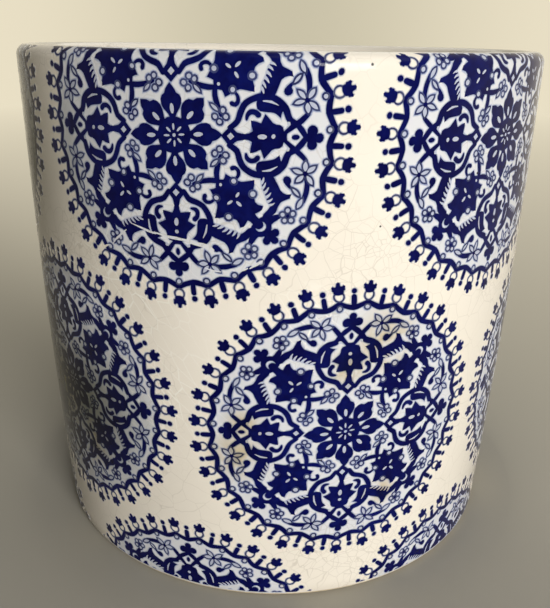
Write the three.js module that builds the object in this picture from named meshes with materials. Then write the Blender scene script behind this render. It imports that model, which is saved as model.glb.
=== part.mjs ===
// Straight-sided earthenware flower pot, glazed outside, over the lip and inside, on a bare foot ring.
// Every piece is turned about +Z. Millimetres, with the origin under the middle of the foot, on the table.
import * as THREE from "three";

// Outside of the pot
const HEIGHT = 142.3; // table to the top of the lip
const RIM_RADIUS = 75; // outside of the upright band under the lip
const FOOT_RADIUS = 72.2; // outside where the wall comes down to the table
const UPRIGHT_BAND = 33; // height of the band under the lip that stands upright; below it the wall draws in

// Inside of the pot
const LIP_THICKNESS = 5.8; // wall at the lip, which is rounded over in a half circle
const WALL_AT_FLOOR = 7; // wall where it runs into the floor
const FLOOR_THICKNESS = 6.6; // inside floor to the recess under it
const FLOOR_CORNER = 9; // radius between the wall and the floor inside

// Foot
const FOOT_RING_WIDTH = 5.2; // ring that the pot stands on
const FOOT_RECESS = 2.3; // how far the underside lies above the table inside the ring
const FOOT_EDGE = 0.8; // rounding of the ring's outer and inner edges
const BARE_BAND = 0.15; // bare clay between those edges and the glaze

// Glaze
const GLAZE = 0.35; // thickness of the fired glaze
const GLAZE_SEAT = 0.01; // hairline between the clay and the glaze, which keeps their facets from crossing

// Facets
const TURN_STEPS = 64;
const WALL_STEPS = 8;
const LIP_STEPS = 8;
const CORNER_STEPS = 5;
const EDGE_STEPS = 3;

const bareFoot = FOOT_EDGE + BARE_BAND;
const floorTop = FOOT_RECESS + FLOOR_THICKNESS;
const lipRadius = LIP_THICKNESS / 2;
const lipSpring = HEIGHT - lipRadius;
const drawnIn = HEIGHT - UPRIGHT_BAND;

// Outside radius at a height: upright in the band under the lip, then a parabola that draws in to the foot.
function outsideRadius(z) {
  const below = Math.max(0, drawnIn - z) / drawnIn;
  return RIM_RADIUS - (RIM_RADIUS - FOOT_RADIUS) * below * below;
}

// Inside radius at a height: the wall thickens steadily from the lip to the floor.
function insideRadius(z) {
  const down = (lipSpring - z) / (lipSpring - floorTop);
  return outsideRadius(z) - LIP_THICKNESS - (WALL_AT_FLOOR - LIP_THICKNESS) * down;
}

// How fast a radius grows with height.
function slope(radiusAt, z) {
  const step = 0.01;
  return (radiusAt(z + step) - radiusAt(z - step)) / (2 * step);
}

// A point of a half section, with the unit direction that faces out of the finished surface.
function sectionPoint(r, z, facingR, facingZ) {
  const length = Math.hypot(facingR, facingZ);
  return { r, z, facingR: facingR / length, facingZ: facingZ / length };
}

// Points along a wall between two heights; side is 1 where it faces outwards and -1 where it faces the axis.
function wallPoints(radiusAt, fromZ, toZ, side) {
  const points = [];
  for (let i = 0; i <= WALL_STEPS; i += 1) {
    const z = fromZ + ((toZ - fromZ) * i) / WALL_STEPS;
    points.push(sectionPoint(radiusAt(z), z, side, -side * slope(radiusAt, z)));
  }
  return points;
}

// Points round an arc, angles in radians from +r towards +z; side is 1 on a round edge and -1 in a hollow corner.
function arcPoints(centreR, centreZ, radius, fromAngle, toAngle, steps, side) {
  const points = [];
  for (let i = 0; i <= steps; i += 1) {
    const angle = fromAngle + ((toAngle - fromAngle) * i) / steps;
    const r = centreR + radius * Math.cos(angle);
    const z = centreZ + radius * Math.sin(angle);
    points.push(sectionPoint(r, z, side * Math.cos(angle), side * Math.sin(angle)));
  }
  return points;
}

// A surface moved into the pot by a depth, each point against the way that it faces.
function sunk(points, depth) {
  return points.map((p) => sectionPoint(p.r - depth * p.facingR, p.z - depth * p.facingZ, p.facingR, p.facingZ));
}

// Finished surface from the glaze's edge outside the foot, over the lip and down to the middle of the floor.
function glazedSection() {
  const outside = wallPoints(outsideRadius, bareFoot, lipSpring, 1);
  const lip = arcPoints(RIM_RADIUS - lipRadius, lipSpring, lipRadius, 0, Math.PI, LIP_STEPS, 1);
  const lean = Math.atan(slope(insideRadius, floorTop + FLOOR_CORNER));
  const cornerZ = floorTop + FLOOR_CORNER;
  const cornerTop = cornerZ - FLOOR_CORNER * Math.sin(lean);
  const cornerR = insideRadius(cornerTop) - FLOOR_CORNER * Math.cos(lean);
  const inside = wallPoints(insideRadius, lipSpring, cornerTop, -1);
  const corner = arcPoints(cornerR, cornerZ, FLOOR_CORNER, -lean, -Math.PI / 2, CORNER_STEPS, -1);
  const middle = sectionPoint(0, floorTop, 0, 1);
  return [...outside, ...lip.slice(1), ...inside.slice(1), ...corner.slice(1), middle];
}

// Finished surface under the pot, from the middle of the recess to the glaze's edge inside the foot ring.
function recessSection() {
  const cornerRadius = FOOT_RECESS - bareFoot;
  const cornerR = FOOT_RADIUS - FOOT_RING_WIDTH - cornerRadius;
  const middle = sectionPoint(0, FOOT_RECESS, 0, -1);
  const corner = arcPoints(cornerR, bareFoot, cornerRadius, Math.PI / 2, 0, CORNER_STEPS, -1);
  return [middle, ...corner];
}

// The bare foot ring, from its inner side under the recess glaze to its outer side under the wall's glaze.
function footRing(innerR, outerR) {
  const inner = arcPoints(innerR + FOOT_EDGE, FOOT_EDGE, FOOT_EDGE, Math.PI, 1.5 * Math.PI, EDGE_STEPS, 1);
  const outer = arcPoints(outerR - FOOT_EDGE, FOOT_EDGE, FOOT_EDGE, 1.5 * Math.PI, 2 * Math.PI, EDGE_STEPS, 1);
  return [...inner, ...outer];
}

// A closed solid turned about +Z from a half section that starts and ends on the axis.
function turned(name, section, look) {
  const profile = section.map((p) => new THREE.Vector2(p.r, p.z));
  const geometry = new THREE.LatheGeometry(profile, TURN_STEPS);
  geometry.rotateX(Math.PI / 2);
  const mesh = new THREE.Mesh(geometry, new THREE.MeshStandardMaterial(look));
  mesh.name = name;
  return mesh;
}

const glazed = glazedSection();
const glazeBack = sunk(glazed, GLAZE);
const clayWall = sunk(glazed, GLAZE + GLAZE_SEAT);
const recess = recessSection();
const recessBack = sunk(recess, GLAZE);
const clayBase = sunk(recess, GLAZE + GLAZE_SEAT);
const ring = footRing(clayBase[clayBase.length - 1].r, clayWall[0].r);

const pot = new THREE.Group();
pot.name = "flower_pot";

// The fired clay: recess, foot ring, wall, lip and floor.
pot.add(
  turned("earthenware_body", [...clayBase, ...ring, ...clayWall], {
    color: 0xe4d8c0,
    roughness: 0.85,
    metalness: 0,
  }),
);

// The coat of glaze over the outside, the lip and the inside, in one piece.
pot.add(
  turned("glaze_coat", [...glazeBack.toReversed(), ...glazed], {
    color: 0xf4ecd6,
    roughness: 0.12,
    metalness: 0,
  }),
);

// The patch of glaze in the recess, which the bare ring parts from the rest.
pot.add(
  turned("recess_glaze", [...recess, ...recessBack.toReversed()], {
    color: 0xf1e9d2,
    roughness: 0.15,
    metalness: 0,
  }),
);

export default pot;
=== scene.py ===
"""A glazed earthenware flower pot with a cobalt print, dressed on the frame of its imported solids.

Sizes are in millimetres and meshes in metres. +Z is up along the pot's axis and -Y faces the camera.
"""
import logging
import math
from collections import Counter
from collections.abc import Sequence
from dataclasses import dataclass, field, replace
from enum import Enum
from functools import reduce
from typing import Any

import bmesh
import bpy
import numpy as np
from mathutils import Matrix, Vector
from mathutils.geometry import delaunay_2d_cdt


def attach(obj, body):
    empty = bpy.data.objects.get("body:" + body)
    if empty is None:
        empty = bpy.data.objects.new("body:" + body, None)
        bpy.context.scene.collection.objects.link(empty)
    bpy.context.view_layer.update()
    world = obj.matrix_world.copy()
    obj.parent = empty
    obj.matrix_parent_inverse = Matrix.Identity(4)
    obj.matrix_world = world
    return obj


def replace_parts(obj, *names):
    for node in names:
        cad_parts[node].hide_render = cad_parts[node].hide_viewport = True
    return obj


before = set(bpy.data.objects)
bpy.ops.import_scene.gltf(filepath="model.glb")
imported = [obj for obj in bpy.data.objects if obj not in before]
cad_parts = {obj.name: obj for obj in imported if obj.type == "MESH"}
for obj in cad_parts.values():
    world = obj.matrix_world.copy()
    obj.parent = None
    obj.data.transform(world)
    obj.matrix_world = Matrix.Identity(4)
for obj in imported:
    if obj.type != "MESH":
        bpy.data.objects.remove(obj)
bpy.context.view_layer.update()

logging.basicConfig(level=logging.INFO, format="%(message)s")
log = logging.getLogger("flower_pot")

Point = tuple[float, float]
Outline = list[Point]
Spot = tuple[float, float, float]  # angle round the pot in radians, height and reach in millimetres
Tree = bpy.types.NodeTree
Socket = bpy.types.NodeSocket
Colour = str | Socket  # a hex code, or the output that gives a colour

MM = 0.001
LEVEL = (1.0, 1.0, 0.0)  # what leaves only the level part of a direction
INK_ATTRIBUTE = "ink"
TOP_LAYER = 9  # of the print, above every motif

SMALLEST_CAP = 0.12  # radius from which a stroke's end is rounded
WIDE_CAP = 0.5  # radius from which its rounding gets more sides

WALL_STEPS = 40
INSIDE_STEPS = 32
LIP_STEPS = 24
CORNER_STEPS = 12
FLOOR_STEPS = 5
RECESS_STEPS = 8
RING_STEPS = 6
LEAF_STEPS = 6
LEAF_SWELL = 0.8  # below 1, a leaf is fuller towards its ends

SAME_PLACE = 1e-6
TURNED_BACK = 1e-3  # length of two added side directions below which an outline doubles back
LONGEST_MITRE = 0.5  # least cosine that a spread corner is drawn out by
WELD = 2e-6  # metres
SHARP = 40.0  # degrees between two faces from which their edge is sharp


def hex_colour(code: str) -> tuple[float, float, float, float]:
    """Turn an sRGB hex colour into the linear values that a shader reads.

    Args:
        code: Six hex digits after a hash sign.

    Returns:
        Linear red, green and blue, and an alpha of 1.
    """
    parts = [int(code[i : i + 2], 16) / 255 for i in (1, 3, 5)]
    linear = [c / 12.92 if c <= 0.04045 else ((c + 0.055) / 1.055) ** 2.4 for c in parts]
    return linear[0], linear[1], linear[2], 1.0


def fill(tree: Tree, node: bpy.types.Node, sockets: dict[str | int, Any]) -> None:
    """Fill a node's inputs.

    Args:
        tree: The node's tree.
        node: The node.
        sockets: Inputs by name or number. An output socket as the value makes a link, and a text is a colour.
    """
    for name, value in sockets.items():
        if isinstance(value, Socket):
            tree.links.new(value, node.inputs[name])
        else:
            node.inputs[name].default_value = hex_colour(value) if isinstance(value, str) else value


def add_node(
    tree: Tree, kind: str, settings: dict[str, Any] | None = None, sockets: dict[str | int, Any] | None = None
) -> bpy.types.Node:
    """Add a node with its settings, its socket values and its links.

    Args:
        tree: The node tree that gets the node.
        kind: Blender's name of the node's type.
        settings: Attributes of the node.
        sockets: Inputs by name or number, as for fill.

    Returns:
        The new node.
    """
    node = tree.nodes.new(kind)
    for name, value in (settings or {}).items():
        setattr(node, name, value)
    fill(tree, node, sockets or {})
    return node


def maths(tree: Tree, operation: str, *values: Any) -> Socket:
    """Add one step of arithmetic and give its result."""
    return add_node(tree, "ShaderNodeMath", {"operation": operation}, dict(enumerate(values))).outputs[0]


def vector_maths(tree: Tree, operation: str, *values: Any) -> Socket:
    """Add one step of vector arithmetic and give its result."""
    node = add_node(tree, "ShaderNodeVectorMath", {"operation": operation}, dict(enumerate(values)))
    return node.outputs["Value" if operation in ("DOT_PRODUCT", "LENGTH", "DISTANCE") else "Vector"]


def highest(tree: Tree, values: Sequence[Socket]) -> Socket:
    """Add the nodes that give the highest of some values."""
    return reduce(lambda one, other: maths(tree, "MAXIMUM", one, other), values)


def ramp(
    tree: Tree, value: Socket, start: float, end: float, smooth: bool = False, to: Point = (0.0, 1.0)
) -> Socket:
    """Add a ramp that follows a value.

    Args:
        tree: The node tree.
        value: The value.
        start: Where on it the ramp starts.
        end: Where it ends.
        smooth: Whether it starts and ends gently.
        to: What it gives at its start and at its end.

    Returns:
        Socket with the result.
    """
    settings = {"interpolation_type": "SMOOTHSTEP" if smooth else "LINEAR"}
    limits = {"From Min": start, "From Max": end, "To Min": to[0], "To Max": to[1]}
    return add_node(tree, "ShaderNodeMapRange", settings, {"Value": value, **limits}).outputs[0]


def blend(tree: Tree, share: float | Socket, lower: Colour, upper: Colour, way: str = "MIX") -> Socket:
    """Add a mix of two colours, of which the share belongs to the upper one."""
    settings, sockets = {"data_type": "RGBA", "blend_type": way}, {"Factor": share, "A": lower, "B": upper}
    return add_node(tree, "ShaderNodeMix", settings, sockets).outputs["Result"]


def noise(tree: Tree, place: Socket, scale: float, detail: float, roughness: float = 0.5) -> Socket:
    """Add cloudy noise and give its strength, from 0 to 1."""
    sockets = {"Vector": place, "Scale": scale, "Detail": detail, "Roughness": roughness}
    return add_node(tree, "ShaderNodeTexNoise", sockets=sockets).outputs["Fac"]


def new_material(name: str) -> tuple[bpy.types.Material, Tree, bpy.types.Node]:
    """Start a material with a bare surface shader.

    Args:
        name: The material's name.

    Returns:
        The material, its node tree and its shader node.
    """
    material = bpy.data.materials.new(name)
    material.use_nodes = True
    tree = material.node_tree
    tree.nodes.clear()
    shader = add_node(tree, "ShaderNodeBsdfPrincipled")
    add_node(tree, "ShaderNodeOutputMaterial", sockets={"Surface": shader.outputs[0]})
    return material, tree, shader


def read_all(items: Any, name: str, width: int = 1) -> np.ndarray:
    """Read one property of all of a mesh's vertices, corners or faces.

    Args:
        items: The mesh's collection.
        name: The property's name.
        width: How many numbers it has; a single one is read as a whole number.

    Returns:
        One value or one row for each.
    """
    values = np.empty(len(items) * width, int if width == 1 else float)
    items.foreach_get(name, values)
    return values if width == 1 else values.reshape(-1, width)


def arc(middle: Point, radius: float, start: float, end: float, steps: int) -> Outline:
    """Lay out the points of an arc, both ends included, between two angles in radians."""
    angles = [start + (end - start) * i / steps for i in range(steps + 1)]
    return [(middle[0] + radius * math.cos(a), middle[1] + radius * math.sin(a)) for a in angles]


class Tone(Enum):
    """How much ink a patch of the print holds."""

    CLEAR = 0.0
    WASH = 0.2
    FLOWN = 0.4  # at the edge of the ink, from where it fades into the bare glaze
    LINE = 0.94
    SOLID = 1.0


@dataclass(frozen=True)
class PotForm:
    """Sizes of the pot in millimetres, the same as in its solids."""

    height: float = 142.3
    rim_radius: float = 75.0
    foot_radius: float = 72.2
    upright_band: float = 33.0
    lip_thickness: float = 5.8
    wall_at_floor: float = 7.0
    floor_thickness: float = 6.6
    floor_corner: float = 9.0
    foot_ring_width: float = 5.2
    foot_recess: float = 2.3
    foot_edge: float = 0.8
    bare_band: float = 0.15
    glaze: float = 0.35
    print_room: float = 0.05  # how far the glaze's face lies inside the solids, so that the print fits in too

    @property
    def floor_top(self) -> float:
        """Height of the floor inside."""
        return self.foot_recess + self.floor_thickness

    @property
    def lip_radius(self) -> float:
        """Radius of the lip's rounding."""
        return self.lip_thickness / 2

    @property
    def lip_spring(self) -> float:
        """Height at which the lip's rounding starts."""
        return self.height - self.lip_radius

    @property
    def drawn_in(self) -> float:
        """Height below which the wall draws in."""
        return self.height - self.upright_band

    @property
    def taper(self) -> float:
        """How far the wall draws in from rim to foot."""
        return self.rim_radius - self.foot_radius

    @property
    def bare_foot(self) -> float:
        """Height of the glaze's edge above the table."""
        return self.foot_edge + self.bare_band

    def outside(self, z: float) -> float:
        """Give the outside radius at a height: upright under the lip, then a parabola down to the foot."""
        below = max(0.0, self.drawn_in - z) / self.drawn_in
        return self.rim_radius - self.taper * below * below

    def inside(self, z: float) -> float:
        """Give the inside radius at a height, with a wall that thickens steadily towards the floor."""
        down = (self.lip_spring - z) / (self.lip_spring - self.floor_top)
        return self.outside(z) - self.lip_thickness - (self.wall_at_floor - self.lip_thickness) * down

    def on_wall(self, angle: float, height: float) -> Vector:
        """Give the place on the wall, in metres, at an angle round the pot and a height."""
        radius = self.outside(height)
        return Vector((radius * math.sin(angle), -radius * math.cos(angle), height)) * MM

    def glazed_section(self, depth: float) -> Outline:
        """Lay out the glazed surface from the foot outside, over the lip, to the middle of the floor.

        Args:
            depth: How far the line lies inside the finished surface.

        Returns:
            Radius and height of each point.
        """
        line: Outline = []
        for i in range(WALL_STEPS + 1):
            z = self.bare_foot + (self.lip_spring - self.bare_foot) * i / WALL_STEPS
            line.append((self.outside(z) - depth, z))
        lip = (self.rim_radius - self.lip_radius, self.lip_spring)
        line += arc(lip, self.lip_radius - depth, 0.0, math.pi, LIP_STEPS)[1:]
        corner_z = self.floor_top + self.floor_corner
        for i in range(1, INSIDE_STEPS + 1):
            z = self.lip_spring + (corner_z - self.lip_spring) * i / INSIDE_STEPS
            line.append((self.inside(z) + depth, z))
        corner_r = self.inside(corner_z) - self.floor_corner
        line += arc((corner_r, corner_z), self.floor_corner + depth, 0.0, -math.pi / 2, CORNER_STEPS)[1:]
        for i in range(FLOOR_STEPS - 1, -1, -1):
            line.append((corner_r * i / FLOOR_STEPS, self.floor_top - depth))
        return line

    def recess_section(self, depth: float) -> Outline:
        """Lay out the glazed recess under the floor, from its middle to the bare ring.

        Args:
            depth: How far the line lies inside the finished surface.

        Returns:
            Radius and height of each point.
        """
        corner = self.foot_recess - self.bare_foot
        corner_r = self.foot_radius - self.foot_ring_width - corner
        line = [(corner_r * i / FLOOR_STEPS, self.foot_recess + depth) for i in range(FLOOR_STEPS + 1)]
        return line + arc((corner_r, self.bare_foot), corner + depth, math.pi / 2, 0.0, RECESS_STEPS)[1:]

    def wrap(self, flat: np.ndarray, around: float, proud: float) -> np.ndarray:
        """Lay flat points of the print on the wall and over the lip.

        Args:
            flat: Rows of distance to the right of a roundel's middle, and height; above the lip's spring the
                second value runs on along the lip.
            around: Angle of the roundel's middle round the pot, in radians, from the front to the right.
            proud: How far the points stand out of the glaze's face.

        Returns:
            Rows of x, y and z in millimetres.
        """
        z = np.minimum(flat[:, 1], self.lip_spring)
        below = np.clip(self.drawn_in - z, 0, None) / self.drawn_in
        lip_angle = np.clip(flat[:, 1] - self.lip_spring, 0, None) / self.lip_radius
        radius = self.rim_radius - self.taper * below**2 - self.lip_radius * (1 - np.cos(lip_angle))
        height = z + self.lip_radius * np.sin(lip_angle)
        facing_r = np.cos(lip_angle)
        facing_z = np.sin(lip_angle) - 2 * self.taper * below / self.drawn_in
        lift = (proud - self.print_room) / np.hypot(facing_r, facing_z)
        angle = around + flat[:, 0] / radius
        out_r = radius + lift * facing_r
        return np.stack([out_r * np.sin(angle), -out_r * np.cos(angle), height + lift * facing_z], 1)


@dataclass(frozen=True)
class PrintLattice:
    """Where the one roundel repeats on the unrolled wall, in millimetres."""

    first: Point = (-22.6, 125.5)  # one roundel's middle: distance round the wall from the front, and height
    along_row: Point = (83.0, -1.2)
    next_row: Point = (40.7, -71.6)
    rows: int = 3
    row_half: int = 4  # how many roundels a row has on each side of its first one
    least_showing: float = 3.0
    far_off: float = 1000.0  # stands for the distance from the print inside the pot
    lip_margin: float = 0.6

    def middles(self, half_way: float, reach: float) -> list[Point]:
        """Find the middles of the roundels that reach onto the wall.

        Args:
            half_way: Half of the way round the wall.
            reach: How far a roundel reaches from its middle.

        Returns:
            Distance round the wall from the front, and height, of each.
        """
        found: list[Point] = []
        for row in range(self.rows):
            for k in range(-self.row_half, self.row_half + 1):
                u = self.first[0] + k * self.along_row[0] + row * self.next_row[0]
                v = self.first[1] + k * self.along_row[1] + row * self.next_row[1]
                if abs(u) < half_way + reach - self.least_showing and v + reach > 0:
                    found.append((u, v))
        return found

    def distance(self, tree: Tree, place: Socket, form: PotForm) -> Socket:
        """Add the nodes that measure how far a place on the wall is from the nearest roundel's middle.

        Args:
            tree: The material's node tree.
            place: Socket with the place, in metres.
            form: The pot's sizes.

        Returns:
            Socket with the distance along the wall, in millimetres; inside the pot it is large.
        """
        split = add_node(tree, "ShaderNodeSeparateXYZ", sockets={0: place}).outputs
        angle = maths(tree, "ARCTAN2", split["X"], maths(tree, "MULTIPLY", split["Y"], -1.0))
        flat = add_node(tree, "ShaderNodeCombineXYZ", sockets={0: angle, 1: split["Z"], 2: 1.0}).outputs[0]
        (ax, ay), (bx, by) = self.along_row, self.next_row
        size = ax * by - ay * bx
        parts: list[Socket] = []
        for step, x, y in ((self.along_row, by / size, -bx / size), (self.next_row, -ay / size, ax / size)):
            weights = (x * form.rim_radius, y / MM, -(x * self.first[0] + y * self.first[1]))
            rest = maths(tree, "WRAP", vector_maths(tree, "DOT_PRODUCT", flat, weights), 0.5, -0.5)
            parts.append(vector_maths(tree, "MULTIPLY", (*step, 0.0), rest))
        away = vector_maths(tree, "LENGTH", vector_maths(tree, "ADD", *parts))
        radius = vector_maths(tree, "LENGTH", vector_maths(tree, "MULTIPLY", place, LEVEL))
        edge = (form.rim_radius - form.lip_radius - self.lip_margin) * MM
        return maths(tree, "MULTIPLY_ADD", maths(tree, "LESS_THAN", radius, edge), self.far_off, away)


@dataclass(frozen=True)
class AgeMarks:
    """What a century of use leaves in a lead glaze: crazing, brown stains in it, grime with painted shade
    over it on the pot's left, and kiln specks; the pale long cracks are painted highlights.
    """

    sway: float = 4.0  # millimetres by which cracks wander
    craze_cell: float = 5.2  # millimetres between the main cracks
    fine_cell: float = 2.4
    craze_line: float = 0.11  # millimetres, drawn wider than a real crack so that it shows
    crack_core: float = 0.15  # part of a crack's width that is fully dark
    streak_cell: float = 3.0  # millimetres between the long cracks, and how far they are drawn out
    streak_stretch: float = 3.2
    streak_line: float = 0.11
    streak_lean: float = -38.0  # degrees from upright towards the viewer's right
    streak_sway: float = 0.4  # part of the wander that they share
    # Where the long cracks are drawn pale, as painted highlights.
    painted_glint_zone: tuple[Spot, ...] = ((-0.52, 88.0, 30.0), (-0.4, 62.0, 27.0), (0.1, 84.0, 14.0))
    stain_spots: tuple[Spot, ...] = (
        (0.36, 77.5, 13.0),
        (0.24, 71.0, 8.0),
        (-0.12, 47.0, 11.0),
        (-0.1, 56.0, 7.0),
        (0.4, 33.0, 7.0),
        (-0.98, 50.0, 17.0),
        (-0.75, 38.0, 10.0),
    )
    stain_breaks: Point = (0.3, 0.56)  # strength of the cloud from which a stain sets in, and is full
    # Darker patches on the pot's shaded left side: partly grime, partly painted shade.
    grime_and_shade_spots: tuple[Spot, ...] = ((-1.06, 47.0, 46.0), (-0.78, 50.0, 33.0), (-1.0, 112.0, 40.0))
    kiln_specks: tuple[Spot, ...] = ((0.252, 139.9, 0.42), (0.31, 106.0, 0.3))
    speck_core: float = 0.6  # part of a speck's radius that is fully dark
    speck_cell: float = 15.0  # millimetres between the fine specks
    fine_speck: Point = (0.024, 0.012)  # radius of one and of its dark middle, as parts of that
    wave_height: float = 0.12
    crack_dent: float = -0.012  # part of a wave's height

    def build(self, tree: Tree, form: PotForm) -> tuple[Socket, ...]:
        """Add the nodes that find the marks on the piece.

        Args:
            tree: The material's node tree.
            form: The pot's sizes, which place the stains.

        Returns:
            Sockets with the place, the cracks, the long cracks that carry a painted highlight, the stains and
            the broad mottling, each of the last four from 0 to 1.
        """
        place = add_node(tree, "ShaderNodeTexCoord").outputs["Object"]
        warp = add_node(tree, "ShaderNodeTexNoise", sockets={"Vector": place, "Scale": 95.0, "Detail": 3.0})
        centred = vector_maths(tree, "SUBTRACT", warp.outputs["Color"], (0.5, 0.5, 0.5))
        bent = vector_maths(tree, "MULTIPLY_ADD", centred, (self.sway * MM,) * 3, place)
        crazed_parts = noise(tree, place, scale=38.0, detail=2.0)
        cracks: list[Socket] = []
        for cell, low, high in ((self.craze_cell, 0.34, 0.6), (self.fine_cell, 0.5, 0.66)):
            line = self.crack_lines(tree, bent, 1 / (cell * MM), 1.0, self.craze_line / cell)
            cracks.append(maths(tree, "MULTIPLY", line, ramp(tree, crazed_parts, low, high, smooth=True)))
        swaying = {"Factor": self.streak_sway, "A": place, "B": bent}
        swayed = add_node(tree, "ShaderNodeMix", {"data_type": "VECTOR"}, swaying)
        long_cell = tuple(size * self.streak_cell * MM for size in (1.0, 1.0, self.streak_stretch))
        lean = (0.0, math.radians(self.streak_lean), 0.0)
        drawn = add_node(
            tree,
            "ShaderNodeMapping",
            {"vector_type": "TEXTURE"},
            {"Vector": swayed.outputs["Result"], "Rotation": lean, "Scale": long_cell},
        )
        long_lines = self.crack_lines(tree, drawn.outputs[0], 1.0, 0.9, self.streak_line / self.streak_cell)
        # Long cracks within the zone, which the glaze draws pale as painted highlights.
        glinting_cracks = maths(tree, "MULTIPLY", long_lines, self.near(tree, place, form, self.painted_glint_zone))
        cloud = noise(tree, place, scale=150.0, detail=5.0, roughness=0.65)
        broken = ramp(tree, cloud, *self.stain_breaks, smooth=True)
        stained = maths(tree, "MULTIPLY", self.near(tree, place, form, self.stain_spots), broken)
        return place, highest(tree, cracks), glinting_cracks, stained, noise(tree, place, scale=30.0, detail=3.0)

    def crack_lines(self, tree: Tree, place: Socket, scale: float, wildness: float, width: float) -> Socket:
        """Add the nodes that draw lines between the cells of a crackle.

        Args:
            tree: The material's node tree.
            place: Socket with the place on the piece.
            scale: How many cells a unit of length has.
            wildness: How uneven the cells are.
            width: A line's width as a part of a cell.

        Returns:
            Socket that is 1 on a line.
        """
        cells = {"Vector": place, "Scale": scale, "Randomness": wildness}
        edges = add_node(tree, "ShaderNodeTexVoronoi", {"feature": "DISTANCE_TO_EDGE"}, cells)
        return ramp(tree, edges.outputs["Distance"], width, self.crack_core * width, smooth=True)

    def near(
        self, tree: Tree, place: Socket, form: PotForm, spots: Sequence[Spot], core: float = 0.0
    ) -> Socket:
        """Add the nodes that tell how near a place is to the nearest of some spots on the wall.

        Args:
            tree: The material's node tree.
            place: Socket with the place on the piece.
            form: The pot's sizes, which place the spots.
            spots: The spots.
            core: Part of a spot's reach within which the result is 1.

        Returns:
            Socket that rises from 0 at a spot's reach to 1.
        """
        found: list[Socket] = []
        for angle, height, reach in spots:
            away = vector_maths(tree, "DISTANCE", place, form.on_wall(angle, height))
            found.append(ramp(tree, away, reach * MM, core * reach * MM, smooth=True))
        return highest(tree, found)

    def specks(self, tree: Tree, place: Socket, form: PotForm) -> Socket:
        """Add the nodes that find the iron specks of the kiln: a few placed ones, and fine ones all over.

        Args:
            tree: The material's node tree.
            place: Socket with the place on the piece.
            form: The pot's sizes, which place the specks.

        Returns:
            Socket that is 1 on a speck.
        """
        scatter = {"Vector": place, "Scale": 1 / (self.speck_cell * MM)}
        cells = add_node(tree, "ShaderNodeTexVoronoi", sockets=scatter)
        fine = ramp(tree, cells.outputs["Distance"], *self.fine_speck, smooth=True)
        return highest(tree, (fine, self.near(tree, place, form, self.kiln_specks, self.speck_core)))

    def waves(self, tree: Tree, place: Socket, craze: Socket) -> Socket:
        """Add the slow waves of a fired glaze and the hairline dents of its cracks.

        Args:
            tree: The material's node tree.
            place: Socket with the place on the piece.
            craze: Socket with the cracks.

        Returns:
            Socket with the changed normal.
        """
        swell = noise(tree, place, scale=70.0, detail=1.0)
        surface = maths(tree, "MULTIPLY_ADD", craze, self.crack_dent, swell)
        relief = {"Height": surface, "Strength": 1.0, "Distance": self.wave_height * MM}
        return add_node(tree, "ShaderNodeBump", sockets=relief).outputs[0]


@dataclass(frozen=True)
class CobaltPrint:
    """Cobalt transfer print under the glaze: nearly black blue where it is solid, violet where it is thin."""

    solid: str = "#010341"
    worn: str = "#050e56"
    flown: str = "#9dabd4"
    clear: str = "#ffffff"
    grain_span: Point = (0.16, 0.38)  # strength of the grain from which the ink is worn, and wholly so
    uneven: float = 0.12  # how much of a thin line's ink is missing where it took badly
    uneven_span: Point = (0.42, 0.62)

    def paint(self, tree: Tree, place: Socket, mottle: Socket, ground: Socket) -> Socket:
        """Add the nodes that lay the ink on the ground colour, as the faces' ink attribute says.

        Args:
            tree: The material's node tree.
            place: Socket with the place on the piece.
            mottle: Socket with the glaze's broad mottling.
            ground: Socket with the colour under the ink.

        Returns:
            Socket with the printed colour.
        """
        grain = maths(tree, "MULTIPLY", noise(tree, place, scale=420.0, detail=3.0), mottle)
        blue = blend(tree, ramp(tree, grain, *self.grain_span), self.solid, self.worn)
        ink = add_node(tree, "ShaderNodeAttribute", {"attribute_name": INK_ATTRIBUTE}).outputs["Fac"]
        thin = ramp(tree, ink, Tone.CLEAR.value, Tone.FLOWN.value)
        tint = blend(tree, thin, self.clear, self.flown)
        strong = ramp(tree, ink, Tone.FLOWN.value, Tone.SOLID.value)
        line_loss = ramp(tree, ink, Tone.SOLID.value, Tone.LINE.value, to=(0.0, self.uneven))
        badly = ramp(tree, noise(tree, place, scale=260.0, detail=2.0), *self.uneven_span)
        cover = maths(tree, "SUBTRACT", strong, maths(tree, "MULTIPLY", line_loss, badly))
        return blend(tree, cover, blend(tree, 1.0, ground, tint, "MULTIPLY"), blue)


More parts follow.
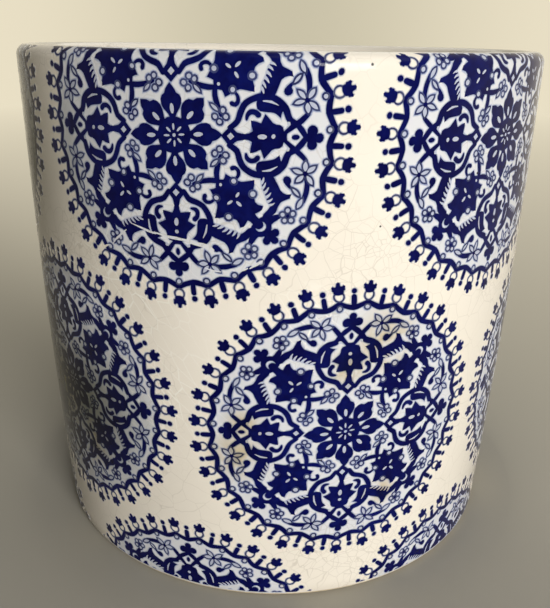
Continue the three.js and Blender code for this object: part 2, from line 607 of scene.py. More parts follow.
@dataclass(frozen=True)
class LeadGlaze:
    """Cream lead glaze, dipped and fired: warm white, wet-looking, yellower where it is thick, and crazed."""

    thin: str = "#f5eee1"
    thick: str = "#eee6d7"
    crack: str = "#a59a86"
    crack_share: float = 0.28
    painted_glint: str = "#fffcf2"  # painted highlight: long cracks drawn pale, as if they caught the light, on the pot's shaded side
    painted_glint_share: float = 0.8
    grime_and_shade: str = "#80806f"  # partly grime soaked into the crazing under the print, partly painted shade on the pot's left
    grime_and_shade_on_cream: float = 0.32
    stain: str = "#e8d7b2"
    haze: str = "#d9dbe0"  # the cobalt that has flowed into the glaze between the printed lines
    haze_share: float = 0.88
    haze_radius: float = 33.6
    haze_edge: float = 0.4
    speck: str = "#2e2a28"
    roughness: float = 0.07
    ior: float = 1.5
    gloss: float = 0.13

    def dress(
        self,
        name: str,
        form: PotForm,
        marks: AgeMarks,
        lattice: PrintLattice | None = None,
        ink: CobaltPrint | None = None,
    ) -> bpy.types.Material:
        """Make the glaze, with what lies under it.

        Args:
            name: The material's name.
            form: The pot's sizes.
            marks: The signs of age.
            lattice: Where the print lies, on a printed piece.
            ink: The print, on a piece that is the print itself.

        Returns:
            The material.
        """
        material, tree, shader = new_material(name)
        place, craze, glinting_cracks, stained, mottle = marks.build(tree, form)
        tone = blend(tree, mottle, self.thin, self.thick)
        if lattice is not None:
            away, edge = lattice.distance(tree, place, form), self.haze_edge
            hazy = ramp(tree, away, self.haze_radius + edge, self.haze_radius - edge, smooth=True)
            tone = blend(tree, maths(tree, "MULTIPLY", hazy, self.haze_share), tone, self.haze)
        # The cracks darken the glaze; the long ones are drawn pale as painted highlights.
        lines = ((craze, self.crack_share, self.crack), (glinting_cracks, self.painted_glint_share, self.painted_glint))
        for mark, share, colour in lines:
            tone = blend(tree, maths(tree, "MULTIPLY", mark, share), tone, colour)
        if ink is not None:
            tone = ink.paint(tree, place, mottle, tone)
        if lattice is not None:
            # Painted shade over real grime on the pot's left, stronger within the roundels' haze than on the
            # cream.
            grime_and_shade_weight = ramp(tree, hazy, 0.0, 1.0, to=(self.grime_and_shade_on_cream, 1.0))
            soiled_and_shaded = maths(tree, "MULTIPLY", marks.near(tree, place, form, marks.grime_and_shade_spots), grime_and_shade_weight)
            tone = blend(tree, soiled_and_shaded, tone, self.grime_and_shade, "MULTIPLY")
        tone = blend(tree, stained, tone, self.stain, "MULTIPLY")
        tone = blend(tree, marks.specks(tree, place, form), tone, self.speck)
        surface = {"Base Color": tone, "Normal": marks.waves(tree, place, craze), "Roughness": self.roughness}
        fill(tree, shader, surface | {"IOR": self.ior, "Specular IOR Level": self.gloss})
        return material


@dataclass(frozen=True)
class FiredClay:
    """Biscuit earthenware, cast and fired without glaze: matt, sandy and a little porous."""

    pale: str = "#d9ccb0"
    dark: str = "#b7a27f"
    dark_span: Point = (0.1, 0.42)  # strength of the soiling from which the clay darkens, and is wholly dark
    grit: float = 0.35  # millimetres
    relief: float = 0.1
    roughness: float = 0.85

    def dress(self, name: str) -> bpy.types.Material:
        """Make the clay.

        Args:
            name: The material's name.

        Returns:
            The material.
        """
        material, tree, shader = new_material(name)
        place = add_node(tree, "ShaderNodeTexCoord").outputs["Object"]
        grain = noise(tree, place, scale=1 / (self.grit * MM), detail=4.0)
        soil = maths(tree, "MULTIPLY", grain, noise(tree, place, scale=60.0, detail=4.0))
        tone = blend(tree, ramp(tree, soil, *self.dark_span), self.pale, self.dark)
        relief = {"Height": grain, "Strength": 0.5, "Distance": self.relief * MM}
        normal = add_node(tree, "ShaderNodeBump", sockets=relief).outputs[0]
        fill(tree, shader, {"Base Color": tone, "Normal": normal, "Roughness": self.roughness})
        return material


@dataclass(frozen=True)
class Patch:
    """One closed outline of the print; a patch on a higher layer covers those below it."""

    outline: Outline
    tone: Tone
    layer: int

    @property
    def holds_ink(self) -> bool:
        """Whether the patch is a line or solid ink."""
        return self.tone in (Tone.LINE, Tone.SOLID)


def turned(points: Sequence[Point], degrees: float, mirrored: bool = False) -> Outline:
    """Turn points about the middle, after a mirror across the x axis if asked.

    Args:
        points: The points.
        degrees: The angle, from x towards y.
        mirrored: Whether y changes its sign first.

    Returns:
        The new points.
    """
    c, s = math.cos(math.radians(degrees)), math.sin(math.radians(degrees))
    sign = -1.0 if mirrored else 1.0
    return [(x * c - sign * y * s, x * s + sign * y * c) for x, y in points]


def oval(
    centre: Point, half_length: float, half_width: float, degrees: float = 0.0, sides: int = 10
) -> Outline:
    """Outline an ellipse.

    Args:
        centre: Its middle.
        half_length: Its long half.
        half_width: Its short half.
        degrees: Direction of the long half.
        sides: How many sides stand for the curve.

    Returns:
        The outline.
    """
    steps = [2 * math.pi * i / sides for i in range(sides)]
    flat = [(half_length * math.cos(a), half_width * math.sin(a)) for a in steps]
    return [(x + centre[0], y + centre[1]) for x, y in turned(flat, degrees)]


def disc(centre: Point, radius: float) -> Outline:
    """Outline a circle, with more sides where it is larger."""
    return oval(centre, radius, radius, 0.0, 8 + int(3 * radius))


def leaf(base: Point, tip: Point, half_width: float) -> Outline:
    """Outline a leaf that is pointed at both ends.

    Args:
        base: Where it starts.
        tip: Where it ends.
        half_width: Half of its widest part.

    Returns:
        The outline.
    """
    dx, dy = tip[0] - base[0], tip[1] - base[1]
    length = math.hypot(dx, dy)
    out: Outline = []
    for sign in (1.0, -1.0):
        for i in range(LEAF_STEPS):
            t = i / LEAF_STEPS if sign > 0 else 1 - i / LEAF_STEPS
            swell = sign * half_width * math.sin(math.pi * t) ** LEAF_SWELL / length
            out.append((base[0] + dx * t - dy * swell, base[1] + dy * t + dx * swell))
    return out


def flowing(points: Sequence[Point], closed: bool = True, step: float = 0.7) -> Outline:
    """Run a smooth curve through points; a point given twice running is a sharp corner.

    Args:
        points: The points.
        closed: Whether the curve returns to its start.
        step: Length of its facets.

    Returns:
        The points of the curve.
    """
    count = len(points)
    out: Outline = []
    for i in range(count if closed else count - 1):
        a, b = points[i], points[(i + 1) % count]
        if a == b:
            continue
        before = points[i - 1] if closed or i > 0 else a
        after = points[(i + 2) % count] if closed or i + 2 < count else b
        steps = max(1, round(math.dist(a, b) / step))
        for k in range(steps):
            t = k / steps
            x, y = (
                a[n]
                + 0.5 * t * (b[n] - before[n])
                + 0.5 * t * t * (2 * before[n] - 5 * a[n] + 4 * b[n] - after[n])
                + 0.5 * t**3 * (3 * a[n] - before[n] - 3 * b[n] + after[n])
                for n in (0, 1)
            )
            out.append((x, y))
    if not closed:
        out.append(points[-1])
    return out


def cap(middle: Point, start: Point) -> Outline:
    """Round the end of a stroke, clockwise from one of its sides to the other.

    Args:
        middle: The end of the stroke's line.
        start: The end of the side that the cap starts from.

    Returns:
        The points between the two sides.
    """
    radius = math.dist(start, middle)
    if radius < SMALLEST_CAP:
        return []
    angle = math.atan2(start[1] - middle[1], start[0] - middle[0])
    steps = 4 if radius < WIDE_CAP else 6
    return arc(middle, radius, angle, angle - math.pi, steps)[1:-1]


def stroke(points: Sequence[Point], widths: Sequence[float], step: float = 0.7) -> Outline:
    """Outline a brush stroke.

    Args:
        points: The points that its line runs through.
        widths: Its widths, spread evenly from start to end.
        step: Length of its facets.

    Returns:
        The outline, round at both ends.
    """
    line = flowing(points, closed=False, step=step)
    last = len(line) - 1
    left: Outline = []
    right: Outline = []
    for i, (x, y) in enumerate(line):
        ahead, behind = line[min(i + 1, last)], line[max(i - 1, 0)]
        dx, dy = ahead[0] - behind[0], ahead[1] - behind[1]
        place = (len(widths) - 1) * i / last
        k = min(int(place), len(widths) - 2)
        half = 0.5 * (widths[k] + (widths[k + 1] - widths[k]) * (place - k)) / (math.hypot(dx, dy) or 1.0)
        left.append((x - dy * half, y + dx * half))
        right.append((x + dy * half, y - dx * half))
    return left + cap(line[-1], left[-1]) + right[::-1] + cap(line[0], right[0])


def anticlockwise(outline: Outline) -> Outline:
    """Give an outline's points anticlockwise, as the triangulation needs them."""
    area = sum(a[0] * b[1] - b[0] * a[1] for a, b in zip(outline, outline[1:] + outline[:1]))
    return outline if area > 0 else outline[::-1]


def spread(outline: Outline, width: float) -> Outline:
    """Let an outline spread over its surroundings, or shrink where the width is negative.

    Args:
        outline: The points, anticlockwise.
        width: How far each side moves outwards.

    Returns:
        The new points.
    """
    out: Outline = []
    for i, (x, y) in enumerate(outline):
        before, after = outline[i - 1], outline[(i + 1) % len(outline)]
        first = Vector((y - before[1], before[0] - x))
        second = Vector((after[1] - y, x - after[0]))
        if min(first.length, second.length) < SAME_PLACE:
            out.append((x, y))
            continue
        first.normalize()
        second.normalize()
        facing = first + second
        if facing.length < TURNED_BACK:
            facing = Vector((x - before[0], y - before[1]))
        facing.normalize()
        far = width / max(LONGEST_MITRE, facing.dot(first))
        out.append((x + facing.x * far, y + facing.y * far))
    return out


@dataclass
class Motif:
    """A part of the ornament, in millimetres from the roundel's middle, with x running outwards."""

    patches: list[Patch] = field(default_factory=list)

    def add(self, outline: Outline, tone: Tone = Tone.SOLID, layer: int = 0) -> None:
        """Add one outline."""
        self.patches.append(Patch(outline, tone, layer))

    def both(self, half: Sequence[Point], layer: int = 0, step: float = 0.7) -> None:
        """Add a solid patch from half its outline, closed with its mirror image.

        Args:
            half: Points from the x axis round one side and back to the axis.
            layer: Its layer.
            step: Length of its facets.
        """
        back = [(x, -y) for x, y in reversed(half)]
        start = 1 if half[-1][1] == 0 else 0
        self.add(flowing(list(half) + back[start:], step=step), Tone.SOLID, layer)

    def ringlet(self, centre: Point, radius: float, line: float = 0.28) -> None:
        """Add a small circle, drawn as a line round a thin wash."""
        self.add(disc(centre, radius), Tone.LINE, 2)
        self.add(disc(centre, radius - line), Tone.WASH, 3)

    def petal(self, base: Point, tip: Point, half_width: float, line: float = 0.26) -> None:
        """Add a pointed petal, drawn as a line round a thin wash.

        Args:
            base: Where it starts.
            tip: Where it ends.
            half_width: Half of its widest part.
            line: The line's width.
        """
        self.add(leaf(base, tip, half_width), Tone.LINE, 2)
        dx, dy = tip[0] - base[0], tip[1] - base[1]
        inset = 1.5 * line / math.hypot(dx, dy)
        low = (base[0] + dx * inset, base[1] + dy * inset)
        high = (tip[0] - dx * inset, tip[1] - dy * inset)
        self.add(leaf(low, high, half_width - line), Tone.WASH, 3)

    def placed(self, degrees: float, mirrored: bool = False) -> list[Patch]:
        """Give the patches of the motif, turned to the angle of its arm, and mirrored across it if asked."""
        return [replace(patch, outline=turned(patch.outline, degrees, mirrored)) for patch in self.patches]


@dataclass(frozen=True)
class Roundel:
    """The round ornament: a flower of eight petals, four palmettes, four blossoms and a crowned border."""

    crowns: int = 31
    ring_low: float = 33.25
    ring_high: float = 34.5
    ring_line: float = 1.15
    scallop_steps: int = 8  # facets of one scallop
    scallop_point: float = 1.6  # above 1, the scallops are sharper at their outer ends
    gain: float = 0.09  # how far the ink has spread past its drawn edge
    flow: float = 0.36  # how far the cobalt has flowed into the glaze round the ink
    flow_within: float = 0.3  # the same inside a closed line
    flower_turn: float = 2.6  # degrees, and millimetres below: the flower sits a little askew, as engraved
    flower_shift: Point = (0.05, -0.3)

    def border(self) -> list[Patch]:
        """Draw the scalloped ring with a crown on each point and a bar on each hollow.

        Returns:
            The patches.
        """
        patches: list[Patch] = []
        steps = self.crowns * self.scallop_steps
        angles = [-90 + 360 * i / steps for i in range(steps)]
        for side, tone in ((0.5, Tone.SOLID), (-0.5, Tone.CLEAR)):
            outline: Outline = []
            for angle in angles:
                share = abs(((angle + 90) * self.crowns / 360) % 1 - 0.5) * 2
                middle = self.ring_low + (self.ring_high - self.ring_low) * share**self.scallop_point
                outline += turned([(middle + side * self.ring_line, 0.0)], angle)
            patches.append(Patch(outline, tone, -1))
        crown = Motif()
        crown.ringlet((33.2, 0), 0.82)
        crown.add(oval((36.2, 0), 1.36, 1.3, sides=14), Tone.LINE, -1)
        crown.add(oval((36.2, 0), 1.12, 1.06, sides=14), Tone.CLEAR, -1)
        crown.both([
            (36.75, 0), (36.85, 0.7), (37.25, 1.1), (37.65, 1.15), (37.85, 1.5), (38.2, 1.45), (38.7, 1.6),
            (38.85, 1.3), (38.6, 0.9), (38.75, 0.5), (39.2, 0.4), (39.5, 0.36), (39.75, 0),
        ], step=0.5)
        bar = Motif()
        bar.add(stroke([(33.4, 0), (34.6, 0), (35.9, 0)], [0.85, 1.1, 1.05]))
        bar.add(disc((37.35, 0), 0.6))
        for k in range(self.crowns):
            patches += crown.placed(-90 + 360 * k / self.crowns)
            patches += bar.placed(-90 + 360 * (k + 0.5) / self.crowns)
        return patches

    def rosette(self) -> list[Patch]:
        """Draw the eight-petalled flower in the middle.

        Returns:
            The patches.
        """
        upright, slanting, middle = Motif(), Motif(), Motif()
        upright.both([
            (0.4, 0), (3.4, -0.6), (4.4, -0.95), (5.4, -1.75), (6.4, -2.2), (7.4, -2.3), (8.1, -1.95),
            (8.5, -1.3), (8.5, -1.3), (9.3, -1.0), (10.0, -0.5), (10.55, 0), (10.55, 0),
        ])
        upright.add(oval((5.45, 0), 1.1, 0.5), Tone.WASH, 1)
        slanting.both([
            (0.4, 0), (3.4, -0.75), (4.4, -1.4), (5.3, -2.15), (6.3, -2.55), (7.2, -2.5), (7.9, -2.1),
            (8.3, -1.25), (8.3, -1.25), (9.2, -0.95), (10.2, 0), (10.2, 0),
        ])
        slanting.add(oval((5.55, 0), 1.15, 0.52), Tone.WASH, 1)
        for arm in (upright, slanting):
            arm.add(oval((1.7, 0), 0.8, 0.3, 0, 8), Tone.WASH, 1)
        middle.add(disc((0, 0), 3.8))
        middle.add(disc((0, 0), 0.42), Tone.WASH, 1)
        patches = middle.placed(0)
        for k in range(4):
            turn = 90 * k + self.flower_turn
            patches += upright.placed(turn) + slanting.placed(turn - 45)
        dx, dy = self.flower_shift
        return [replace(patch, outline=[(x + dx, y + dy) for x, y in patch.outline]) for patch in patches]

    def palmette(self) -> Motif:
        """Draw what lies on an upright arm: diamond, palmette, second diamond and trefoil.

        Returns:
            The motif.
        """
        on = Motif()
        on.both([(10.5, 0), (10.5, 0), (12.5, -2.1), (12.5, -2.1), (13.9, -0.8), (15.4, -0.5), (15.4, 0)])
        on.add([(11.65, 0), (12.5, -0.85), (13.4, 0), (12.5, 0.85)], Tone.WASH, 1)
        on.both([
            (15.2, 0), (15.4, -0.45), (16.3, -0.6), (17.1, -1.0), (16.9, -2.2), (16.8, -3.25),
            (16.8, -3.25), (17.9, -2.95), (18.9, -2.6), (19.3, -3.4), (19.75, -4.4), (19.75, -4.4),
            (20.6, -3.5), (21.2, -2.7), (21.9, -2.35), (22.7, -2.3), (23.3, -1.9), (23.5, -1.2),
            (23.6, -0.4), (23.6, 0),
        ])
        on.add(oval((19.1, 0), 1.0, 0.58), Tone.WASH, 1)
        on.add(disc((21.4, 0), 0.5), Tone.WASH, 1)
        on.both([
            (23.3, 0), (23.4, -0.8), (24.4, -1.75), (25.6, -2.8), (26.3, -2.9), (27.2, -2.3), (28.2, -1.1),
            (28.5, 0),
        ])
        on.add([(24.1, 0), (24.2, -0.75), (26.1, -2.0), (27.75, 0), (26.1, 2.0), (24.2, 0.75)], Tone.CLEAR, 1)
        on.add(oval((26.0, 0), 0.8, 0.42), Tone.SOLID, 2)
        for x, y, radius in ((29.4, 0, 1.25), (29.5, -1.45, 1.0), (29.5, 1.45, 1.0), (30.95, 0, 0.9)):
            on.add(disc((x, y), radius))
        return on

    def palmette_sides(self) -> Motif:
        """Draw what stands beside an upright arm: round frame, comma, curled leaf and open flower.

        Returns:
            The motif, which is mirrored across the arm as well.
        """
        off = Motif()
        arch = [(12.3, -1.8), (13.9, -3.0), (14.5, -4.6), (15.3, -6.2), (16.4, -7.1), (17.8, -7.75)]
        arch += [(19.4, -8.0), (21.0, -7.8), (22.6, -7.1), (23.8, -5.8), (24.3, -4.4), (24.9, -3.3)]
        off.add(stroke([*arch, (26.4, -2.5)], [0.9, 1.15, 1.1, 1.15, 1.25, 1.3, 1.2]))
        comma = [(15.9, -3.5), (16.1, -4.4), (16.8, -4.95), (17.7, -4.85), (18.25, -4.35)]
        off.add(stroke(comma, [0.25, 0.7, 0.85, 0.9, 1.0], 0.35))
        off.add(
            flowing([
                (18.3, -7.4), (18.1, -6.6), (18.2, -5.6), (18.7, -5.15), (21.0, -4.95), (22.0, -4.6),
                (22.8, -3.85), (22.8, -3.85), (23.1, -4.9), (23.8, -5.6), (23.0, -6.8), (21.0, -7.9),
            ])
        )
        off.add(stroke([(19.4, -7.1), (21.0, -6.85), (22.6, -6.15)], [0.35, 0.6, 0.2]), Tone.WASH, 1)
        off.add(disc((24.55, -2.65), 0.42), Tone.WASH, 1)
        off.add(stroke([(26.0, -2.4), (27.2, -3.5), (28.5, -4.7)], [1.0, 0.95, 0.75]))
        petals = ((28.5, -4.4, 0.8), (30.9, -5.5, 0.75), (30.2, -10.1, 0.75), (26.1, -9.6, 0.75))
        for x, y, half_width in (*petals, (25.2, -6.5, 0.7)):
            off.petal((28.4, -7.5), (x, y), half_width)
        off.add(stroke([(28.5, -7.9), (28.75, -9.5), (28.55, -11.5), (27.9, -13.4)], [0.7, 1.0, 1.05, 0.9]))
        off.add(disc((28.4, -7.5), 0.45), Tone.SOLID, 4)
        off.petal((28.0, -12.4), (26.5, -15.3), 0.75)
        return off

    def blossom(self) -> Motif:
        """Draw what lies on a slanting arm: toothed blossom, crescent and trefoil.

        Returns:
            The motif.
        """
        on = Motif()
        on.both([
            (13.0, 0), (13.8, 0.7), (14.3, 1.3), (13.75, 2.55), (13.75, 2.55), (14.9, 2.9), (16.2, 3.3),
            (17.1, 3.7), (17.9, 4.7), (18.75, 6.05), (18.75, 6.05), (19.4, 5.3), (20.0, 4.3), (21.2, 3.4),
            (22.2, 2.75), (23.1, 2.8), (24.0, 3.25), (24.0, 3.25), (24.35, 2.6), (24.1, 1.7), (23.9, 1.0),
            (24.6, 0.8), (26.6, 0.8), (26.6, 0),
        ])
        on.both([(25.4, 0), (25.5, 1.3), (25.8, 1.8), (26.8, 2.0), (28.3, 1.8), (29.1, 0.9), (29.6, 0)], -1)
        on.add(disc((27.0, 0), 1.3), Tone.CLEAR, 0)
        on.add(disc((26.45, 0), 0.95), Tone.SOLID, 1)
        for x, y, radius in ((29.9, 0, 1.25), (30.2, 1.3, 0.85), (30.2, -1.3, 0.85), (31.35, 0, 0.8)):
            on.add(disc((x, y), radius))
        on.add(disc((14.55, 0), 0.4), Tone.WASH, 1)
        on.add(oval((20.05, 0), 0.8, 0.38), Tone.WASH, 1)
        return on

    def blossom_sides(self) -> Motif:
        """Draw what stands beside a slanting arm: curl, small flowers and feathered leaf.

        Returns:
            The motif, which is mirrored across the arm as well.
        """
        off = Motif()
        off.add(oval((18.45, 1.2), 0.78, 0.36, 104), Tone.WASH, 1)
        off.ringlet((15.85, 2.75), 0.85, 0.3)
        off.ringlet((20.6, 3.65), 0.95, 0.32)
        curl = [(15.9, 3.3), (15.7, 4.4), (15.0, 5.1), (14.2, 5.1), (13.85, 4.5)]
        off.add(stroke(curl, [0.3, 0.5, 0.6, 0.7, 0.8], 0.35))
        stem = [(13.2, 0.25), (12.3, 1.1), (11.5, 2.3), (10.9, 3.5), (10.4, 4.5)]
        off.add(stroke(stem, [0.9, 0.95, 0.9, 0.6]))
        off.petal((10.6, 3.9), (10.45, 1.1), 0.62)
        for place in ((9.15, 3.85), (11.4, 4.15), (9.2, 5.25), (10.95, 5.4)):
            off.ringlet(place, 0.8)
        off.add(
            flowing([
                (18.9, 7.6), (18.9, 7.6), (20.2, 6.95), (21.1, 6.15), (22.1, 5.85), (23.1, 5.3),
                (24.1, 4.7), (25.1, 4.6), (25.45, 3.4), (25.4, 2.3), (25.75, 1.55), (25.75, 1.55),
                (26.8, 1.7), (28.2, 1.5), (28.2, 1.5), (28.2, 2.6), (28.5, 4.2), (27.7, 4.4), (27.0, 3.2),
                (27.0, 3.2), (26.9, 4.4), (26.3, 5.6), (26.05, 6.6), (26.4, 7.7), (26.7, 8.7),
                (26.35, 9.45), (26.35, 9.45), (25.8, 8.7), (25.0, 8.35), (24.2, 8.3), (23.2, 8.7),
                (22.2, 9.1), (21.0, 9.5), (19.8, 9.2),
            ])
        )
        edge = [(20.3, 6.75), (21.2, 6.1), (22.2, 5.75), (23.1, 5.25), (24.0, 4.7), (24.9, 4.6)]
        for k, low in enumerate(edge):
            high = (low[0] - 0.5 + 0.17 * k, low[1] + 1.05 + 0.4 * math.sin(math.pi * (k + 0.5) / 6))
            half_way = ((low[0] + high[0]) / 2 + 0.1, (low[1] + high[1]) / 2)
            off.add(stroke([low, half_way, high], [0.72, 0.55, 0.2], 0.4), Tone.WASH, 1)
        off.add(disc((29.3, 5.75), 0.6), Tone.SOLID, 1)
        for k in range(5):
            angle = math.radians(-4 + 72 * k)
            off.ringlet((29.3 + 1.2 * math.cos(angle), 5.75 + 1.2 * math.sin(angle)), 0.78)
        off.add(oval((23.75, 10.95), 0.85, 0.78))
        off.add(stroke([(24.1, 10.6), (25.0, 10.4), (25.9, 10.5)], [0.9, 0.5, 0.35]))
        off.petal((25.2, 10.6), (28.3, 10.4), 0.62, 0.3)
        return off

    def creases(self) -> list[Patch]:
        """Draw the bare lines where the wet transfer folded on the wall.

        Returns:
            The patches.
        """
        folds: tuple[tuple[Outline, list[float]], ...] = (
            ([(-12.0, -20.9), (-10.2, -21.4), (-7.4, -22.0), (-5.4, -22.4)], [0.15, 0.4, 0.65, 0.3]),
            ([(-5.8, -22.1), (-3.4, -22.6), (-0.4, -22.9), (1.6, -23.3)], [0.25, 0.6, 0.75, 0.4]),
            ([(1.2, -23.1), (4.1, -23.8), (7.1, -24.3), (8.6, -25.1)], [0.4, 0.9, 0.95, 0.2]),
            ([(-13.4, -22.6), (-15.0, -23.7), (-17.2, -25.5), (-18.1, -26.5)], [0.2, 0.5, 0.55, 0.2]),
            ([(-19.2, -26.9), (-20.8, -27.7), (-21.9, -28.9)], [0.25, 0.6, 0.25]),
            ([(12.2, -29.2), (14.2, -29.3), (16.0, -28.7)], [0.2, 0.5, 0.3]),
            ([(16.6, -28.7), (18.1, -27.7), (19.4, -26.9)], [0.3, 0.75, 0.25]),
            ([(6.2, -29.4), (8.2, -29.9), (10.0, -29.9)], [0.15, 0.4, 0.2]),
        )
        drawn = [anticlockwise(stroke(line, widths, 1.0)) for line, widths in folds]
        return [Patch(outline, Tone.CLEAR, TOP_LAYER) for outline in drawn]

    def patches(self, creased: bool = False) -> list[Patch]:
        """Lay out the whole roundel, with its ink spread a little as it does in the kiln.

        Args:
            creased: Whether the transfer folded here.

        Returns:
            The patches, lowest first, each anticlockwise.
        """
        found = self.border() + self.rosette()
        for on, off, start in (
            (self.palmette(), self.palmette_sides(), 0),
            (self.blossom(), self.blossom_sides(), -45),
        ):
            for k in range(4):
                turn = 90 * k + start
                found += on.placed(turn) + off.placed(turn) + off.placed(turn, True)
        fired: list[Patch] = []
        for patch in sorted(found, key=lambda patch: patch.layer):
            if patch.holds_ink:
                changes = [(self.gain, patch.tone)]
            elif patch.tone is Tone.CLEAR:
                changes = [(-self.gain, Tone.FLOWN), (-self.gain - self.flow_within, Tone.CLEAR)]
            else:
                changes = [(-self.gain / 2, patch.tone)]
            outline = anticlockwise(patch.outline)
            fired += [Patch(spread(outline, width), tone, patch.layer) for width, tone in changes]
        return fired + self.creases() if creased else fired


def deselect_all() -> None:
    """Leave edit mode and deselect everything."""
    if bpy.context.object is not None and bpy.context.object.mode != "OBJECT":
        bpy.ops.object.mode_set(mode="OBJECT")
    bpy.ops.object.select_all(action="DESELECT")


def turn_solid(name: str, section: Sequence[Point], steps: int) -> bpy.types.Object:
    """Turn a closed solid about the pot's axis, as on a wheel.

    Args:
        name: The piece's name.
        section: Radius and height of each point in millimetres, both ends on the axis or the line closed.
        steps: Facets round the axis.

    Returns:
        The piece, at the origin.
    """
    deselect_all()
    start = Vector((section[0][0], 0, section[0][1])) * MM
    bpy.ops.mesh.primitive_plane_add(size=MM, location=start)
    piece = bpy.context.object
    piece.name = piece.data.name = name
    bpy.ops.object.transform_apply(location=True, rotation=True, scale=True)
    bpy.ops.object.mode_set(mode="EDIT")
    bpy.ops.mesh.select_all(action="SELECT")
    bpy.ops.mesh.merge(type="CENTER")
    bpy.ops.mesh.select_all(action="SELECT")
    for before, after in zip(section, section[1:]):
        step = ((after[0] - before[0]) * MM, 0.0, (after[1] - before[1]) * MM)
        bpy.ops.mesh.extrude_region_move(TRANSFORM_OT_translate={"value": step})
    bpy.ops.mesh.select_all(action="SELECT")
    bpy.ops.mesh.spin(steps=steps, angle=2 * math.pi, center=(0, 0, 0), axis=(0, 0, 1))
    bpy.ops.mesh.select_all(action="SELECT")
    bpy.ops.mesh.remove_doubles(threshold=WELD)
    bpy.ops.mesh.normals_make_consistent(inside=False)
    bpy.ops.object.mode_set(mode="OBJECT")
    bpy.ops.object.shade_smooth_by_angle(angle=math.radians(SHARP))
    return piece


def dress(piece: bpy.types.Object, material: bpy.types.Material) -> None:
    """Give a piece its finish and let it ride on the pot's one body.

    Args:
        piece: The piece.
        material: Its material.
    """
    piece.data.materials.clear()
    piece.data.materials.append(material)
    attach(piece, "root")
    log.info("%s: %d faces, %s", piece.name, len(piece.data.polygons), material.name)


@dataclass
class Vessel:
    """The turned pot: clay body, coat of glaze and glazed recess."""

    form: PotForm
    marks: AgeMarks
    lattice: PrintLattice
    facets: int = 256
    hairline: float = 0.01  # between the clay and the glaze
    edge_roll: float = 0.22  # the glaze draws back from the foot in a small rounded edge
    roll_angles: tuple[float, ...] = (1.2, 0.8, 0.4)
    floor_weight: float = 0.35  # how much of the bake map's height the floor takes for its radius
    corner_room: float = 10.0
    seen_part: float = 0.98  # of the bake map's height; the coat's back lies in a strip above it
    back_start: float = 0.985
    back_part: float = 0.014
    facing_down: float = -0.5

    def build_body(self) -> bpy.types.Object:
        """Turn the clay body, of which the bare foot ring shows.

        Returns:
            The piece.
        """
        form = self.form
        seat = form.glaze + self.hairline
        base, wall = form.recess_section(seat), form.glazed_section(seat)
        edge, down = form.foot_edge, 1.5 * math.pi
        inner = arc((base[-1][0] + edge, edge), edge, math.pi, down, RING_STEPS)
        outer = arc((wall[0][0] - edge, edge), edge, down, 2 * math.pi, RING_STEPS)
        body = turn_solid("clay_body", base + inner + outer + wall, self.facets)
        dress(body, FiredClay().dress("biscuit_earthenware"))
        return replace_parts(body, "earthenware_body")

    def build_coat(self) -> bpy.types.Object:
        """Turn the coat of glaze over outside, lip, inside and floor.

        Returns:
            The piece.
        """
        form, roll = self.form, self.edge_roll
        face = form.glazed_section(form.print_room)
        back = form.glazed_section(form.glaze)[::-1]
        edge_r, edge_z = face[0][0] - roll, form.bare_foot + roll
        rim = [(edge_r + roll * math.cos(a), edge_z - roll * math.sin(a)) for a in self.roll_angles]
        coat = turn_solid("glaze_coat_outside_and_inside", [*back, *rim, *face[1:]], self.facets)
        self.unroll(coat)
        dress(coat, LeadGlaze().dress("crazed_lead_glaze", form, self.marks, self.lattice))
        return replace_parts(coat, "glaze_coat")

    def build_recess(self) -> bpy.types.Object:
        """Turn the patch of glaze inside the foot ring.

        Returns:
            The piece.
        """
        form = self.form
        face, back = form.recess_section(0.0), form.recess_section(form.glaze)[::-1]
        patch = turn_solid("glazed_recess", [*back, *face[::-1]], self.facets)
        dress(patch, LeadGlaze().dress("crazed_lead_glaze_recess", form, self.marks))
        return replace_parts(patch, "recess_glaze")

    def unroll(self, coat: bpy.types.Object) -> None:
        """Give the coat a map on which its seen surface lies unrolled and its back in a narrow strip.

        Args:
            coat: The turned coat.
        """
        mesh, form = coat.data, self.form
        centre, normal = read_all(mesh.polygons, "center", 3) / MM, read_all(mesh.polygons, "normal", 3)
        face = np.repeat(np.arange(len(mesh.polygons)), read_all(mesh.polygons, "loop_total"))
        at = (read_all(mesh.vertices, "co", 3) / MM)[read_all(mesh.loops, "vertex_index")]
        middle = np.arctan2(centre[:, 0], -centre[:, 1])[face]
        radius = np.hypot(at[:, 0], at[:, 1])
        angle = np.where(radius < self.hairline, middle, np.arctan2(at[:, 0], -at[:, 1]))
        angle = middle + (angle - middle + math.pi) % (2 * math.pi) - math.pi
        inward = np.hypot(centre[:, 0], centre[:, 1])[face] < form.rim_radius - form.lip_radius
        floor = self.floor_weight * (form.rim_radius - self.corner_room - radius).clip(0)
        along = np.where(inward, 2 * form.height - at[:, 2] + floor, at[:, 2])
        across = (centre[:, :2] * normal[:, :2]).sum(1)[face]
        hidden = np.where(inward, (across > 0) | (normal[:, 2][face] < self.facing_down), across < 0)
        share = along / (2 * form.height + self.floor_weight * form.rim_radius)
        share = np.where(hidden, self.back_start + self.back_part * share, self.seen_part * share)
        layer = mesh.uv_layers.new(name="OFBake")
        flat = np.stack([(angle / (2 * math.pi) + 0.5).clip(0, 1), share.clip(0, 1)], 1)
        layer.uv.foreach_set("vector", flat.astype(np.float32).ravel())


